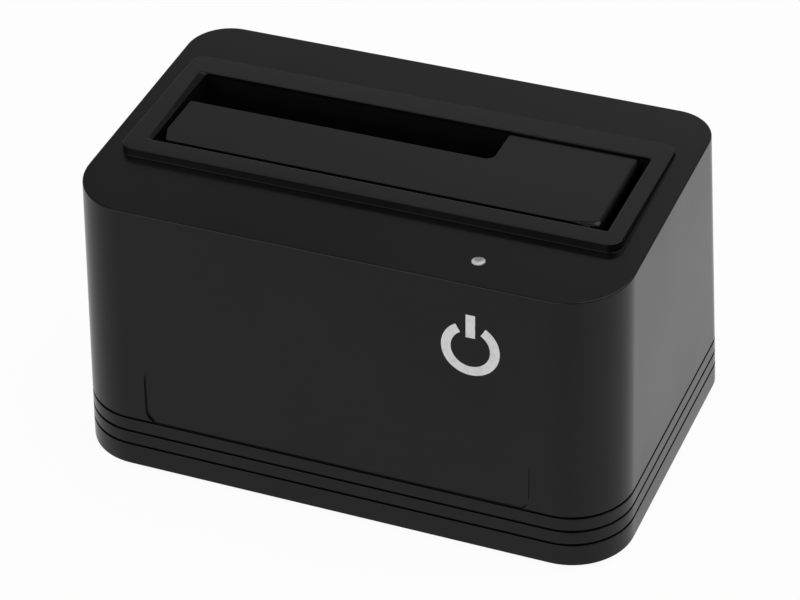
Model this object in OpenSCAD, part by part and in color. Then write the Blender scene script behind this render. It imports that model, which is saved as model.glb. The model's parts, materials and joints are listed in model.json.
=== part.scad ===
// Hard drive docking station: a desktop cradle that takes one 3.5-inch or 2.5-inch drive upright.
// Millimetres. +Z is up and the front looks towards -Y.
// The origin lies under the middle of the body, on the surface that the feet stand on.

/* [Body] */
// Width of the body at its base
base_w = 129; // [127:0.5:138]
// Depth of the body at its base
base_d = 81.6; // [80:0.2:90]
// Width of the body at the level of the front top edge
top_w = 125.4; // [123:0.2:129]
// Depth of the body at the level of the front top edge
top_d = 74.8; // [73:0.2:81]
// Height of the front of the body above its own base
front_h = 67; // [60:0.5:80]
// How much higher the top is at the rear than at the front
top_rise = 2; // [0.5:0.1:2.2]
// Radius of the two upright corners at the front
front_corner_r = 14.3; // [10:0.1:16]
// Radius of the two upright corners at the rear
rear_corner_r = 9.8; // [8:0.1:12]
// Wall thickness of the upper housing
wall = 2.2; // [1.8:0.1:2.6]
// Thickness of the upper housing's top
roof = 2.4; // [2:0.1:2.8]
// Radius of the edge between the top and the walls
edge_r = 0.6; // [0.3:0.1:1]

/* [Base cover] */
// Height of the base cover's band
band_h = 5.25; // [4.5:0.05:6]
// Thickness of the base cover's floor
floor_t = 2; // [1.6:0.1:2.6]
// Radius of the bottom edge of the base cover
base_edge_r = 1; // [0.5:0.1:1.4]
// Height of the rim that locates the base cover inside the housing
rim_h = 2.5; // [1.5:0.1:3]
// Thickness of that rim
rim_t = 1.2; // [0.8:0.1:1.6]
// Clearance between that rim and the housing's wall
rim_gap = 0.15; // [0.05:0.05:0.3]
// Number of grooves round the base
groove_count = 3; // [1:1:3]
// Height of a groove
groove_h = 0.6; // [0.4:0.1:1.2]
// Depth of a groove
groove_d = 0.6; // [0.3:0.1:1]
// Distance from one groove to the next
groove_pitch = 3.55; // [2:0.05:3.6]
// Number of cooling slots in the floor
vent_count = 9; // [3:2:11]
// Width of a cooling slot
vent_w = 2; // [1:0.1:3]
// Length of a cooling slot
vent_l = 18; // [10:1:24]
// Distance from one cooling slot to the next
vent_pitch = 5; // [4.5:0.1:6]

/* [Feet] */
// Radius of a rubber foot
foot_r = 5; // [4:0.1:6]
// How far a foot stands below the base cover
foot_drop = 1.5; // [1:0.1:3]
// Depth of the seat that holds a foot
foot_seat = 0.5; // [0.3:0.1:1]
// Clearance round a foot in its seat
foot_gap = 0.15; // [0.05:0.05:0.3]
// Distance between the feet across the body
foot_span_x = 80; // [60:1:84]
// Distance between the feet from front to rear
foot_span_y = 60; // [50:1:62]

/* [Front face] */
// Width of the shallow label field in the front wall
label_w = 90.6; // [60:0.2:94]
// Height of that field's top edge above the body's base
label_top = 26.8; // [20:0.1:34]
// Depth of that field
label_d = 0.5; // [0.2:0.05:0.8]
// Corner radius of that field
label_r = 3; // [1:0.1:4]

/* [Drive slot] */
// Length of the drive slot, for a drive 101.6 wide
slot_w = 105.6; // [103:0.1:107]
// Depth of the drive slot, for a drive 26.1 thick beside the open flap
slot_d = 28.4; // [28:0.1:30]
// How far the middle of the slot lies behind the middle of the body
slot_back = 2.1; // [0:0.1:3]
// Height of the raised frame round the slot above the body's base
frame_h = 69.5; // [69.2:0.1:70.2]
// Width of the frame at the slot's left end
frame_side = 5.3; // [4.8:0.1:5.6]
// Width of the frame at the slot's right end
frame_right = 4.3; // [4.2:0.1:5.6]
// Width of the frame in front of the slot
frame_front = 5.6; // [5:0.1:7]
// Width of the frame behind the slot
frame_rear = 4.7; // [4:0.1:6]
// Corner radius of the frame
frame_corner_r = 3; // [2:0.1:4]
// Radius of the frame's upper edge
frame_edge = 0.3; // [0.2:0.1:0.5]
// How far the frame's outer faces lean out towards their foot
frame_flare = 0.3; // [0.2:0.1:0.6]
// Thickness of the lip over the drive well's rim
lip = 1; // [0.8:0.05:1.2]
// Size of the bevel on the lip's inner edge, behind the slot and at its right end
lip_bevel = 0.5; // [0.2:0.1:0.6]
// Width of the lip's bevel along the slot's front, over the hinge
lip_front = 1; // [0.5:0.1:1.2]
// Width of that bevel at the left end, where a 2.5-inch drive is guided in
lip_lead = 1.6; // [0.6:0.1:2]

/* [Drive well] */
// Wall thickness of the drive well
well_wall = 1.8; // [1.4:0.1:2]
// Floor thickness of the drive well
well_floor_t = 2; // [1.5:0.1:2.4]
// Clearance between the drive well and its seat under the lip
seat_gap = 0.05; // [0.02:0.01:0.1]
// Distance between the fixing lugs along the well
lug_span = 76; // [50:1:90]
// Distance from the well's wall to a lug's hole
lug_reach = 4.2; // [4:0.1:5]
// Radius of a lug
lug_r = 3.6; // [3.2:0.1:4]
// Thickness of a lug
lug_t = 2.4; // [2:0.1:3]
// Distance from the front top edge down to the lugs
lug_drop = 8.5; // [7:0.5:13]

/* [Flap] */
// Thickness of the flap
flap_t = 1.6; // [1.4:0.05:1.65]
// How far the flap lies below the frame's top
flap_drop = 0.65; // [0.5:0.05:0.8]
// Radius of the flap's hinge barrel
hinge_r = 0.9; // [0.85:0.05:1]
// Distance from the flap's top down to the hinge axis
axis_drop = 1.45; // [1.4:0.05:1.5]
// How far the flap's plate reaches in front of the hinge axis
flap_nose = 0.25; // [0.1:0.05:0.3]
// Gap between the hinge barrel and the slot's front edge
flap_front_gap = 0.25; // [0.2:0.05:0.5]
// Gap between the flap and the slot's rear edge
flap_rear_gap = 0.4; // [0.3:0.05:0.8]
// Gap between the flap and the slot's left end
flap_left_gap = 1.4; // [0.8:0.1:1.8]
// Gap between the flap and the slot's right end
flap_right_gap = 1.9; // [1:0.1:2.2]
// Radius of the flap's upper edge at its right end
flap_end_r = 1.4; // [0.6:0.1:1.5]
// Distance from the slot's left end to the end of the notch for a 2.5-inch drive
notch_w = 73.5; // [71:0.5:76]
// Depth of that notch from the slot's rear edge, for a drive 9.5 thick
notch_d = 11.1; // [10.5:0.1:13]
// Radius in the notch's inner corner
notch_r = 2; // [0.5:0.1:4]
// How far the flap's left end is cut back at its front, for the spring
relief_w = 1.6; // [1.5:0.1:2.5]
// How far behind the hinge axis that slanting cut begins
relief_d = 4; // [2:0.1:6]
// Radius of the hinge pin
pin_r = 0.5; // [0.4:0.05:0.55]
// Radial running clearance of the hinge pin in its slots
pin_gap = 0.05; // [0.02:0.01:0.1]
// Radial clearance of the pin in the flap's barrel, which grips it
pin_hold = 0.01; // [0.01:0.01:0.03]
// Length of the crank at the pin's right end that stops the closing flap
crank_l = 4; // [3:0.1:5]
// Side clearance of the crank
crank_gap = 0.3; // [0.2:0.05:0.4]
// Gap over the crank while the flap is closed
stop_gap = 0.1; // [0.05:0.01:0.2]

/* [Flap spring] */
// Radius of the spring wire
wire_r = 0.15; // [0.1:0.01:0.18]
// Mean radius of the coil
coil_r = 0.84; // [0.8:0.01:0.85]
// Number of turns of the coil
coil_turns = 3; // [2:1:3]
// Distance from one turn to the next
coil_pitch = 0.75; // [0.72:0.01:0.8]
// Length of the leg that lifts the flap
flap_leg = 8; // [6:0.1:12]
// Gap between the tip of that leg and the flap
leg_rest = 0.04; // [0.02:0.01:0.06]
// Gap between the fixed leg and the sides of its slot
leg_gap = 0.1; // [0.05:0.05:0.2]

/* [Circuit board] */
// Height of the board's underside above the body's base
board_lift = 12.7; // [12.5:0.1:14]
// Thickness of the board
board_t = 1.6; // [1:0.1:2]
// Gap between the board's ends and the bosses of the case screws
board_side_gap = 1.8; // [1:0.1:3]
// Gap between the board and the base cover's rim at the front and rear
board_gap = 1; // [0.5:0.1:2]
// Distance from the board's ends to its screws
board_hole_edge = 5; // [4:0.5:6]
// Distance between the board's screws from front to rear
board_span_y = 40; // [30:1:42]

/* [Drive connector] */
// Length of the drive connector
sata_l = 41; // [40:0.5:44]
// Thickness of the drive connector
sata_t = 6; // [5.6:0.1:6.4]
// Height of the drive connector above the board
sata_h = 8.9; // [8:0.1:10]
// How far the drive connector stands up through the well's floor
sata_proud = 3; // [2:0.1:3.2]
// Distance from the slot's left end to the middle of the connector
sata_from_left = 26.5; // [24:0.5:30]
// Distance from the slot's rear edge to the middle of the connector
sata_from_rear = 3.8; // [3.6:0.1:5]
// Clearance round the connector in the well's floor
sata_gap = 0.4; // [0.2:0.1:0.8]
// Width of the connector's contact grooves
blade_w = 1.7; // [1.4:0.1:2]
// Depth of the connector's contact grooves
blade_d = 6; // [4:0.1:6.5]
// Length of the groove for the data contacts
data_l = 10.8; // [10.4:0.1:11.2]
// Length of the groove for the power contacts
power_l = 21; // [20.6:0.1:21.4]
// Wall between the two grooves
blade_rib = 2.2; // [1.8:0.1:2.6]
// Pitch of the contacts
contact_pitch = 1.27; // [1.2:0.01:1.3]

/* [Rear ports] */
// Height of the ports above the board
port_h = 11; // [10.8:0.1:11.6]
// Gap between the ports and the rear wall
port_gap = 0.2; // [0.1:0.1:0.5]
// Clearance round a port in its window
window_gap = 0.3; // [0.2:0.05:0.4]
// Place of the power inlet across the body
inlet_x = -27; // [-32:0.5:-22]
// Width of the power inlet
inlet_w = 9; // [8.6:0.1:10]
// Depth of the power inlet
inlet_d = 14; // [12:0.5:15]
// Radius of the power inlet's socket
inlet_r = 3.2; // [2.8:0.05:3.6]
// Depth of the power inlet's socket
inlet_bore = 9.5; // [8:0.5:10.5]
// Radius of the power inlet's centre pin
inlet_pin_r = 1.05; // [0.9:0.05:1.3]
// Place of the data port across the body
usb_x = 0; // [-4:0.5:4]
// Width of the data port
usb_w = 12; // [11.6:0.1:13]
// Depth of the data port
usb_d = 16; // [14:0.5:17]
// Sheet thickness of the data port's shell
usb_sheet = 0.4; // [0.3:0.05:0.5]
// Place of the power switch across the body
switch_x = 27; // [23:0.5:31]
// Width of the power switch
switch_w = 14.8; // [14.6:0.1:16]
// Depth of the power switch
switch_d = 12; // [10:0.5:14]
// Height of the switch rocker
rocker_h = 7.6; // [6.6:0.1:7.8]
// Angle through which the rocker tilts
rocker_throw = 18; // [10:1:20]

/* [Status light] */
// Place of the status light across the body
light_x = 30.5; // [20:0.5:34]
// Distance from the front top edge to the status light
light_from_front = 8.3; // [7:0.1:11]
// Radius of the light pipe
light_r = 1.5; // [1.2:0.05:1.8]
// Radial clearance of the light pipe in the housing
light_gap = 0.05; // [0.02:0.01:0.1]
// How far the light pipe's domed tip stands above the top
light_proud = 0.5; // [0.2:0.1:0.9]

/* [Fasteners] */
// Radius of the case screws' thread
case_screw_r = 1.4; // [1.2:0.05:1.5]
// Radius of the case screws' head
case_head_r = 2.7; // [2.4:0.1:2.9]
// Length of the case screws' thread in the posts
case_grip = 9; // [6:0.5:14]
// Radius of the thread of the board and well screws
small_screw_r = 1.15; // [1:0.05:1.25]
// Radius of the head of the board and well screws
small_head_r = 2.3; // [2:0.1:2.5]
// Length of the small screws' thread in their bosses
small_grip = 5; // [4:0.5:7]
// Height of a screw's head
head_h = 1.7; // [1.4:0.1:1.9]
// Radial clearance of a screw's thread in its boss
thread_gap = 0.05; // [0.02:0.01:0.1]
// Radial clearance of a screw in what it clamps
screw_gap = 0.3; // [0.2:0.05:0.4]
// Radius of the four posts that take the case screws
post_r = 3.2; // [2.8:0.1:3.6]
// Radius of the bosses that take the small screws
boss_r = 3; // [2.7:0.1:3.4]
// Wall of the base cover's bosses round the heads of the case screws
boss_wall = 1.2; // [1:0.1:1.5]
// Gap between the posts and the side walls at the top
post_side_gap = 4.3; // [3:0.1:4.6]
// Gap between the posts and the front and rear walls at the top
post_end_gap = 2.5; // [2:0.1:4]
// Height above the body's base at which the posts meet the base cover
post_lift = 8.5; // [8:0.1:10]

/* [Hidden] */
$fn = 48;
skin = 0.01;
over = 1;

shell_black = [0.06, 0.06, 0.065];
inner_black = [0.04, 0.04, 0.045];
rubber_black = [0.09, 0.09, 0.09];
steel = [0.72, 0.73, 0.75];
gold = [0.83, 0.68, 0.32];
board_green = [0.05, 0.3, 0.16];
chip_black = [0.1, 0.1, 0.11];
white_plastic = [0.86, 0.87, 0.86];
ferrite_grey = [0.25, 0.25, 0.26];

// Levels
z_base = foot_drop;
z_part = z_base + band_h;
z_front = z_base + front_h;
z_rear = z_front + top_rise;
z_floor = z_base + floor_t;
frame_z = z_base + frame_h;
lip_z = frame_z - lip;
well_rim_z = lip_z - seat_gap;
lug_z = z_front - lug_drop;
board_z = z_base + board_lift;
board_top = board_z + board_t;
sata_top = board_top + sata_h;
well_floor_z = sata_top - sata_proud;
post_z = z_base + post_lift;
roof_tilt = atan(top_rise / top_d);

// The drive slot in plan
slot_x = slot_w / 2;
slot_y0 = slot_back - slot_d / 2;
slot_y1 = slot_back + slot_d / 2;

// The flap's hinge
flap_top = frame_z - flap_drop;
axis_y = slot_y0 + flap_front_gap + hinge_r;
axis_z = flap_top - axis_drop;
flap_x0 = -slot_x + flap_left_gap;
flap_x1 = slot_x - flap_right_gap;
flap_y1 = slot_y1 - flap_rear_gap;
crank_x = slot_x + well_wall + crank_gap + pin_r;

// Places that several pieces share
post_x = top_w / 2 - wall - post_r - post_side_gap;
post_y = top_d / 2 - wall - post_r - post_end_gap;
base_boss_r = case_head_r + screw_gap + boss_wall;
board_w = 2 * (post_x - base_boss_r - board_side_gap);
board_span_x = board_w - 2 * board_hole_edge;
light_y = light_from_front - top_d / 2;
board_y = half_d(board_z) - wall - rim_gap - rim_t - board_gap;
port_face = half_d(board_top + port_h) - wall - port_gap;
port_mid_z = board_top + port_h / 2;
sata_x = -slot_x + sata_from_left;
sata_y = slot_y1 - sata_from_rear;
lug_y = [slot_y0 - well_wall - lug_reach, slot_y1 + well_wall + lug_reach];

// Small fits and fixed sizes inside the case
light_boss_h = 8;
collar_h = 1.5;
led_h = 1.1;
led_gap = 0.3;
head_seat = head_h + 0.6;
contact_w = 0.6;
contact_t = 0.3;
key_l = 2.4;
inlet_set_back = 0.6;

// The data port's mouth and tongue
usb_mouth_w = 8.45;
usb_mouth_h = 7.8;
usb_mouth_d = 9;
usb_tongue_w = 5.6;
usb_tongue_h = 3.1;
usb_set_back = 0.3;
usb_face = port_face - usb_set_back;

// The switch rocker's section, measured from its pivot
rocker_half = 5.2;
rocker_nose = 4.6;
rocker_dip = 3.2;
rocker_heel = 1.5;
rocker_sink = 2.5;
rocker_play = 0.2;
trunnion_r = 0.9;
trunnion_l = 0.8;
trunnion_gap = 0.05;
switch_wall = 1.2;
pivot_y = port_face - rocker_sink;

// The components on the board: the tall ones in the bay in front of the well
front_bay_y = (slot_y0 - well_wall - board_y) / 2;
coil_part_pitch = 9;
bay_step = 12;
capacitor_x = bay_step + 2 - board_w / 2;
inductor_x = capacitor_x + 2 * coil_part_pitch + bay_step;
crystal_x = inductor_x + coil_part_pitch + bay_step;
bridge_x = 8;
bridge_w = 10;
bridge_h = 1.4;
bridge_pitch = 0.7;
memory_x = 24;
memory_w = 5;
memory_d = 4;
memory_h = 1.5;
memory_pitch = 1.27;
regulator_x = -16;

// The body's half width and half depth at a height, on its drafted walls
function lean(z) = (z - z_base) / front_h;
function half_w(z) = (base_w - (base_w - top_w) * lean(z)) / 2;
function half_d(z) = (base_d - (base_d - top_d) * lean(z)) / 2;
function roof_z(y) = z_front + (y + top_d / 2) * tan(roof_tilt);
function corner_r(side) = side < 0 ? front_corner_r : rear_corner_r;

// Four thin discs at the corners of the body's outline at one height
module outline_at(z, inset) {
    for (sx = [-1, 1], sy = [-1, 1]) {
        r = corner_r(sy) - inset;
        translate([sx * (half_w(z) - inset - r), sy * (half_d(z) - inset - r), z])
            cylinder(r = r, h = skin);
    }
}

// The same discs laid on the sloping top, drawn in and dropped to round its edge
module roof_ring(inset, shrink, drop) {
    for (sx = [-1, 1], sy = [-1, 1]) {
        z = sy < 0 ? z_front : z_rear;
        r = corner_r(sy) - inset;
        y = sy * (half_d(z) - inset - r);
        translate([sx * (half_w(z) - inset - r), y, roof_z(y)])
            rotate([roof_tilt, 0, 0])
                translate([0, 0, -drop - skin])
                    cylinder(r = r - shrink, h = skin);
    }
}

module housing_solid() {
    hull() {
        outline_at(z_part, 0);
        for (a = [0:30:90])
            roof_ring(0, edge_r * (1 - cos(a)), edge_r * (1 - sin(a)));
    }
}

module housing_cavity() {
    hull() {
        outline_at(z_part - over, wall);
        roof_ring(wall, 0, roof);
    }
}

// The raised frame round the slot: level on top, so that it stands proudest at the front
module frame_solid() {
    x0 = -slot_x - frame_side;
    x1 = slot_x + frame_right;
    y0 = slot_y0 - frame_front;
    y1 = slot_y1 + frame_rear;
    hull() {
        frame_ring(x0, x1, y0, y1, frame_corner_r - frame_edge, frame_corner_r, frame_z - skin);
        frame_ring(x0, x1, y0, y1, frame_corner_r, frame_corner_r, frame_z - frame_edge - skin);
        frame_ring(x0 - frame_flare, x1 + frame_flare, y0 - frame_flare, y1 + frame_flare, frame_corner_r,
            frame_corner_r, z_front - roof / 2);
    }
}

module frame_ring(x0, x1, y0, y1, r, centre_r, z) {
    for (x = [x0 + centre_r, x1 - centre_r], y = [y0 + centre_r, y1 - centre_r])
        translate([x, y, z])
            cylinder(r = r, h = skin);
}

module base_grooves() {
    top = z_part + (groove_count - 1) * groove_pitch + groove_h;
    difference() {
        for (i = [0:groove_count - 1])
            translate([-base_w, -base_d, z_part + i * groove_pitch - (i == 0 ? over : 0)])
                cube([2 * base_w, 2 * base_d, groove_h + (i == 0 ? over : 0)]);
        hull() {
            outline_at(z_part - 2 * over, groove_d);
            outline_at(top + over, groove_d);
        }
    }
}

module rounded_rect(w, h, r) {
    square([w - 2 * r, h], center = true);
    square([w, h - 2 * r], center = true);
    for (x = [-1, 1], y = [-1, 1])
        translate([x * (w / 2 - r), y * (h / 2 - r)])
            circle(r = r);
}

// The shallow field for a label, sunk square to the leaning front wall above the top groove
module label_field() {
    low = band_h + (groove_count - 1) * groove_pitch + groove_h / 2;
    high = label_top - low;
    mid = z_base + low + high / 2;
    translate([0, -half_d(mid), mid])
        rotate([90 - atan((base_d - top_d) / 2 / front_h), 0, 0])
            translate([0, 0, -label_d])
                linear_extrude(label_d + over)
                    rounded_rect(label_w, high, label_r);
}

module slot_cut() {
    translate([-slot_x, slot_y0, lip_z - over])
        cube([slot_w, slot_d, lip + 2 * over]);
    hull() {
        translate([-slot_x, slot_y0, frame_z - lip_bevel])
            cube([slot_w, slot_d, skin]);
        translate([-slot_x - lip_lead, slot_y0 - lip_front, frame_z])
            cube([slot_w + lip_lead + lip_bevel, slot_d + lip_front + lip_bevel, skin]);
    }
}

// Room for the well's rim, and beside it for the hinge pin's crank
module well_seat() {
    grow = well_wall + seat_gap;
    low = z_front - roof - over;
    translate([-slot_x - grow, slot_y0 - grow, low])
        cube([slot_w + 2 * grow, slot_d + 2 * grow, lip_z - low]);
    translate([slot_x, axis_y - 2 * pin_r, low])
        cube([crank_x + 2 * pin_r - slot_x - crank_gap, crank_l + 4 * pin_r, axis_z + pin_r + stop_gap - low]);
}

module at_posts() {
    for (sx = [-1, 1], sy = [-1, 1])
        translate([sx * post_x, sy * post_y, 0])
            children();
}

module at_lugs() {
    for (sx = [-1, 1], y = lug_y)
        translate([sx * lug_span / 2, y, 0])
            children();
}

module at_board_holes() {
    for (sx = [-1, 1], sy = [-1, 1])
        translate([sx * board_span_x / 2, sy * board_span_y / 2, 0])
            children();
}

module at_feet() {
    for (sx = [-1, 1], sy = [-1, 1])
        translate([sx * foot_span_x / 2, sy * foot_span_y / 2, 0])
            children();
}

// Windows in the rear wall for the power inlet, the data port and the switch
module port_windows() {
    deep = max(base_d, top_d) / 2 - port_face + 2 * over;
    translate([inlet_x, port_face - over, port_mid_z])
        rotate([-90, 0, 0])
            cylinder(r = inlet_w / 2 + window_gap, h = deep);
    for (p = [[usb_x, usb_w], [switch_x, switch_w]])
        translate([p[0] - p[1] / 2 - window_gap, port_face - over, board_top - window_gap])
            cube([p[1] + 2 * window_gap, deep, port_h + 2 * window_gap]);
}

module upper_housing() {
    color(shell_black)
    difference() {
        union() {
            difference() {
                union() {
                    housing_solid();
                    frame_solid();
                }
                housing_cavity();
                base_grooves();
            }
            for (sx = [-1, 1], y = [-post_y, post_y])
                translate([sx * post_x, y, post_z])
                    cylinder(r = post_r, h = roof_z(y) - roof / 2 - post_z);
            for (sx = [-1, 1], y = lug_y)
                translate([sx * lug_span / 2, y, lug_z])
                    cylinder(r = boss_r, h = roof_z(y) - roof / 2 - lug_z);
            translate([light_x, light_y, roof_z(light_y) - roof - light_boss_h])
                cylinder(r = light_r + light_gap + wall / 2, h = light_boss_h + roof / 2);
        }
        label_field();
        slot_cut();
        well_seat();
        port_windows();
        at_posts()
            translate([0, 0, post_z - over])
                cylinder(r = case_screw_r + thread_gap, h = case_grip + 2 * over);
        at_lugs()
            translate([0, 0, lug_z - over])
                cylinder(r = small_screw_r + thread_gap, h = small_grip + 2 * over);
        translate([light_x, light_y, z_part])
            cylinder(r = light_r + light_gap, h = z_rear);
    }
}

module base_cover() {
    rim_inset = wall + rim_gap;
    color(shell_black)
    difference() {
        union() {
            difference() {
                union() {
                    hull() {
                        for (a = [0:30:90])
                            outline_rounded(z_base + base_edge_r * (1 - sin(a)),
                                base_edge_r * (1 - cos(a)));
                        outline_at(z_part - skin, 0);
                    }
                    hull() {
                        outline_at(z_floor, rim_inset);
                        outline_at(z_part + rim_h - skin, rim_inset);
                    }
                }
                hull() {
                    outline_at(z_floor, rim_inset + rim_t);
                    outline_at(z_part + rim_h + over, rim_inset + rim_t);
                }
            }
            at_posts()
                translate([0, 0, z_floor - floor_t / 2])
                    cylinder(r = base_boss_r, h = post_z - z_floor + floor_t / 2);
            at_board_holes()
                translate([0, 0, z_floor - floor_t / 2])
                    cylinder(r = boss_r, h = board_z - z_floor + floor_t / 2);
        }
        at_posts() {
            translate([0, 0, -over])
                cylinder(r = case_screw_r + screw_gap, h = post_z + 2 * over);
            translate([0, 0, z_base - over])
                cylinder(r = case_head_r + screw_gap, h = head_seat + over);
        }
        at_board_holes()
            translate([0, 0, board_z - small_grip - over])
                cylinder(r = small_screw_r + thread_gap, h = small_grip + 2 * over);
        at_feet()
            translate([0, 0, z_base - over])
                cylinder(r = foot_r + foot_gap, h = foot_seat + over);
        for (i = [-(vent_count - 1) / 2:(vent_count - 1) / 2])
            translate([i * vent_pitch, 0, z_base - over])
                linear_extrude(floor_t + 2 * over)
                    rounded_rect(vent_w, vent_l, vent_w / 2 - skin);
    }
}

// The body's outline at the base, drawn in for the rounded bottom edge
module outline_rounded(z, shrink) {
    for (sx = [-1, 1], sy = [-1, 1]) {
        r = corner_r(sy);
        translate([sx * (half_w(z) - r), sy * (half_d(z) - r), z])
            cylinder(r = r - shrink, h = skin);
    }
}

module drive_well() {
    low = well_floor_z - well_floor_t;
    color(inner_black)
    difference() {
        union() {
            translate([-slot_x - well_wall, slot_y0 - well_wall, low])
                cube([slot_w + 2 * well_wall, slot_d + 2 * well_wall, well_rim_z - low]);
            at_lugs()
                translate([0, 0, lug_z - lug_t])
                    cylinder(r = lug_r, h = lug_t);
            for (sx = [-1, 1], run = [[slot_y0, lug_y[0]], [slot_y1, lug_y[1]]])
                translate([sx * lug_span / 2 - lug_r, min(run), lug_z - lug_t])
                    cube([2 * lug_r, abs(run[1] - run[0]), lug_t]);
        }
        translate([-slot_x, slot_y0, well_floor_z])
            cube([slot_w, slot_d, well_rim_z]);
        translate([sata_x - sata_l / 2 - sata_gap, sata_y - sata_t / 2 - sata_gap, low - over])
            cube([sata_l + 2 * sata_gap, sata_t + 2 * sata_gap, well_floor_t + 2 * over]);
        translate([-slot_w, axis_y, axis_z])
            rotate([0, 90, 0])
                cylinder(r = pin_r + pin_gap, h = 2 * slot_w);
        translate([-slot_w, axis_y - pin_r - pin_gap, axis_z])
            cube([2 * slot_w, 2 * (pin_r + pin_gap), frame_z - axis_z]);
        translate([spring_x0 - wire_r - leg_gap, slot_y0 - well_wall - over,
            coil_low - wire_r - leg_gap])
            cube([2 * (wire_r + leg_gap), well_wall + over + skin, 2 * lip + coil_r]);
        at_lugs()
            translate([0, 0, lug_z - lug_t - over])
                cylinder(r = small_screw_r + screw_gap, h = lug_t + 2 * over);
    }
}

module flap_door() {
    nose_y = axis_y - flap_nose;
    notch_x = -slot_x + notch_w;
    notch_y = slot_y1 - notch_d;
    color(shell_black)
    difference() {
        union() {
            translate([flap_x0 + relief_w, axis_y, axis_z])
                rotate([0, 90, 0])
                    cylinder(r = hinge_r, h = flap_x1 - flap_x0 - relief_w);
            translate([0, 0, flap_top - flap_t])
                linear_extrude(flap_t)
                    difference() {
                        translate([flap_x0, nose_y])
                            square([flap_x1 - flap_x0, flap_y1 - nose_y]);
                        polygon([
                            [flap_x0 - over, axis_y + relief_d], [flap_x0, axis_y + relief_d],
                            [flap_x0 + relief_w, nose_y], [flap_x0 + relief_w, nose_y - over],
                            [flap_x0 - over, nose_y - over]
                        ]);
                        translate([flap_x0 - over, notch_y])
                            square([notch_x - notch_r - flap_x0 + over, notch_d]);
                        translate([flap_x0 - over, notch_y + notch_r])
                            square([notch_x - flap_x0 + over, notch_d]);
                        translate([notch_x - notch_r, notch_y + notch_r])
                            circle(r = notch_r);
                    }
        }
        translate([-slot_w, axis_y, axis_z])
            rotate([0, 90, 0])
                cylinder(r = pin_r + pin_hold, h = 2 * slot_w);
        translate([flap_x1 - flap_end_r, slot_y0, flap_top - flap_end_r])
            difference() {
                cube([flap_end_r + over, slot_d, flap_end_r + over]);
                rotate([-90, 0, 0])
                    cylinder(r = flap_end_r, h = slot_d);
            }
    }
}

// A steel wire through the flap's barrel, bent at its right end into a stop
module flap_hinge_pin() {
    start = -slot_x - well_wall + pin_gap;
    color(steel) {
        translate([start, axis_y, axis_z])
            rotate([0, 90, 0])
                cylinder(r = pin_r, h = crank_x - start);
        translate([crank_x, axis_y, axis_z])
            sphere(r = pin_r);
        translate([crank_x, axis_y, axis_z])
            rotate([-90, 0, 0])
                cylinder(r = pin_r, h = crank_l);
    }
}

// The torsion spring: one leg under the flap, the coil round the pin, one leg in the well's wall
coil_steps = 12;
tube_sides = 6;
spring_x0 = -slot_x + 2 * wire_r;
spring_x1 = spring_x0 + coil_turns * coil_pitch;
coil_low = axis_z - coil_r;
leg_rise = flap_top - flap_t - wire_r - leg_rest - coil_low;
spring_path = concat(
    [for (share = [1, 0.5]) [spring_x1, axis_y + share * flap_leg, coil_low + share * leg_rise]],
    [for (i = [0:coil_steps * coil_turns])
        let (a = 270 - i * 360 / coil_steps)
        [spring_x1 - i * coil_pitch / coil_steps, axis_y + coil_r * cos(a), axis_z + coil_r * sin(a)]],
    [for (y = [well_wall / 2, well_wall]) [spring_x0, slot_y0 - y, coil_low]]
);
coil_points = [for (i = [2:1 + coil_steps * coil_turns]) spring_path[i]];
coil_least_gap = min([for (i = [0:len(coil_points) - 1], j = [0:len(coil_points) - 1])
    if (j - i > coil_steps / 2) norm(coil_points[i] - coil_points[j])]) - 2 * wire_r;

function unit(v) = v / norm(v);
function tangent(p, i) = unit(p[min(i + 1, len(p) - 1)] - p[max(i - 1, 0)]);
function square_to(v, t) = unit(v - (v * t) * t);

module tube(path, r) {
    count = len(path);
    frames = [for (i = 0, side = square_to([0, 0, 1], tangent(path, 0)); i < count;
        i = i + 1, side = i < count ? square_to(side, tangent(path, i)) : side) side];
    points = [for (i = [0:count - 1], k = [0:tube_sides - 1])
        let (t = tangent(path, i), u = frames[i], a = k * 360 / tube_sides)
        path[i] + r * (cos(a) * u + sin(a) * cross(t, u))];
    walls = [for (i = [0:count - 2], k = [0:tube_sides - 1])
        let (n = (k + 1) % tube_sides, a = i * tube_sides, b = a + tube_sides)
        each [[a + k, b + k, b + n], [a + k, b + n, a + n]]];
    last = (count - 1) * tube_sides;
    caps = [for (k = [1:tube_sides - 2])
        each [[0, k, k + 1], [last, last + k + 1, last + k]]];
    polyhedron(points, concat(walls, caps));
}

module flap_spring() {
    echo(coil_least_gap = coil_least_gap);
    color(steel)
        tube(spring_path, wire_r);
}

module main_board() {
    color(board_green)
    difference() {
        translate([-board_w / 2, -board_y, board_z])
            cube([board_w, 2 * board_y, board_t]);
        at_board_holes()
            translate([0, 0, board_z - over])
                cylinder(r = small_screw_r + screw_gap, h = board_t + 2 * over);
    }
}

// The two keyed grooves of the drive connector: power on the left, data on the right
blades_l = power_l + blade_rib + data_l;
power_x0 = sata_x - blades_l / 2;
data_x0 = power_x0 + power_l + blade_rib;

module sata_connector() {
    chamfer = sata_t / 4;
    color(inner_black)
    difference() {
        translate([sata_x - sata_l / 2, sata_y - sata_t / 2, board_top])
            cube([sata_l, sata_t, sata_h]);
        for (g = [[power_x0, power_l], [data_x0, data_l]]) {
            translate([g[0], sata_y - blade_w / 2, sata_top - blade_d])
                cube([g[1], blade_w, blade_d + over]);
            translate([g[0] + g[1] - blade_w, sata_y - key_l, sata_top - blade_d])
                cube([blade_w, key_l, blade_d + over]);
        }
        for (sy = [-1, 1])
            translate([sata_x, sata_y + sy * sata_t / 2, sata_top])
                rotate([45, 0, 0])
                    cube([sata_l + over, chamfer, chamfer], center = true);
    }
}

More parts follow.
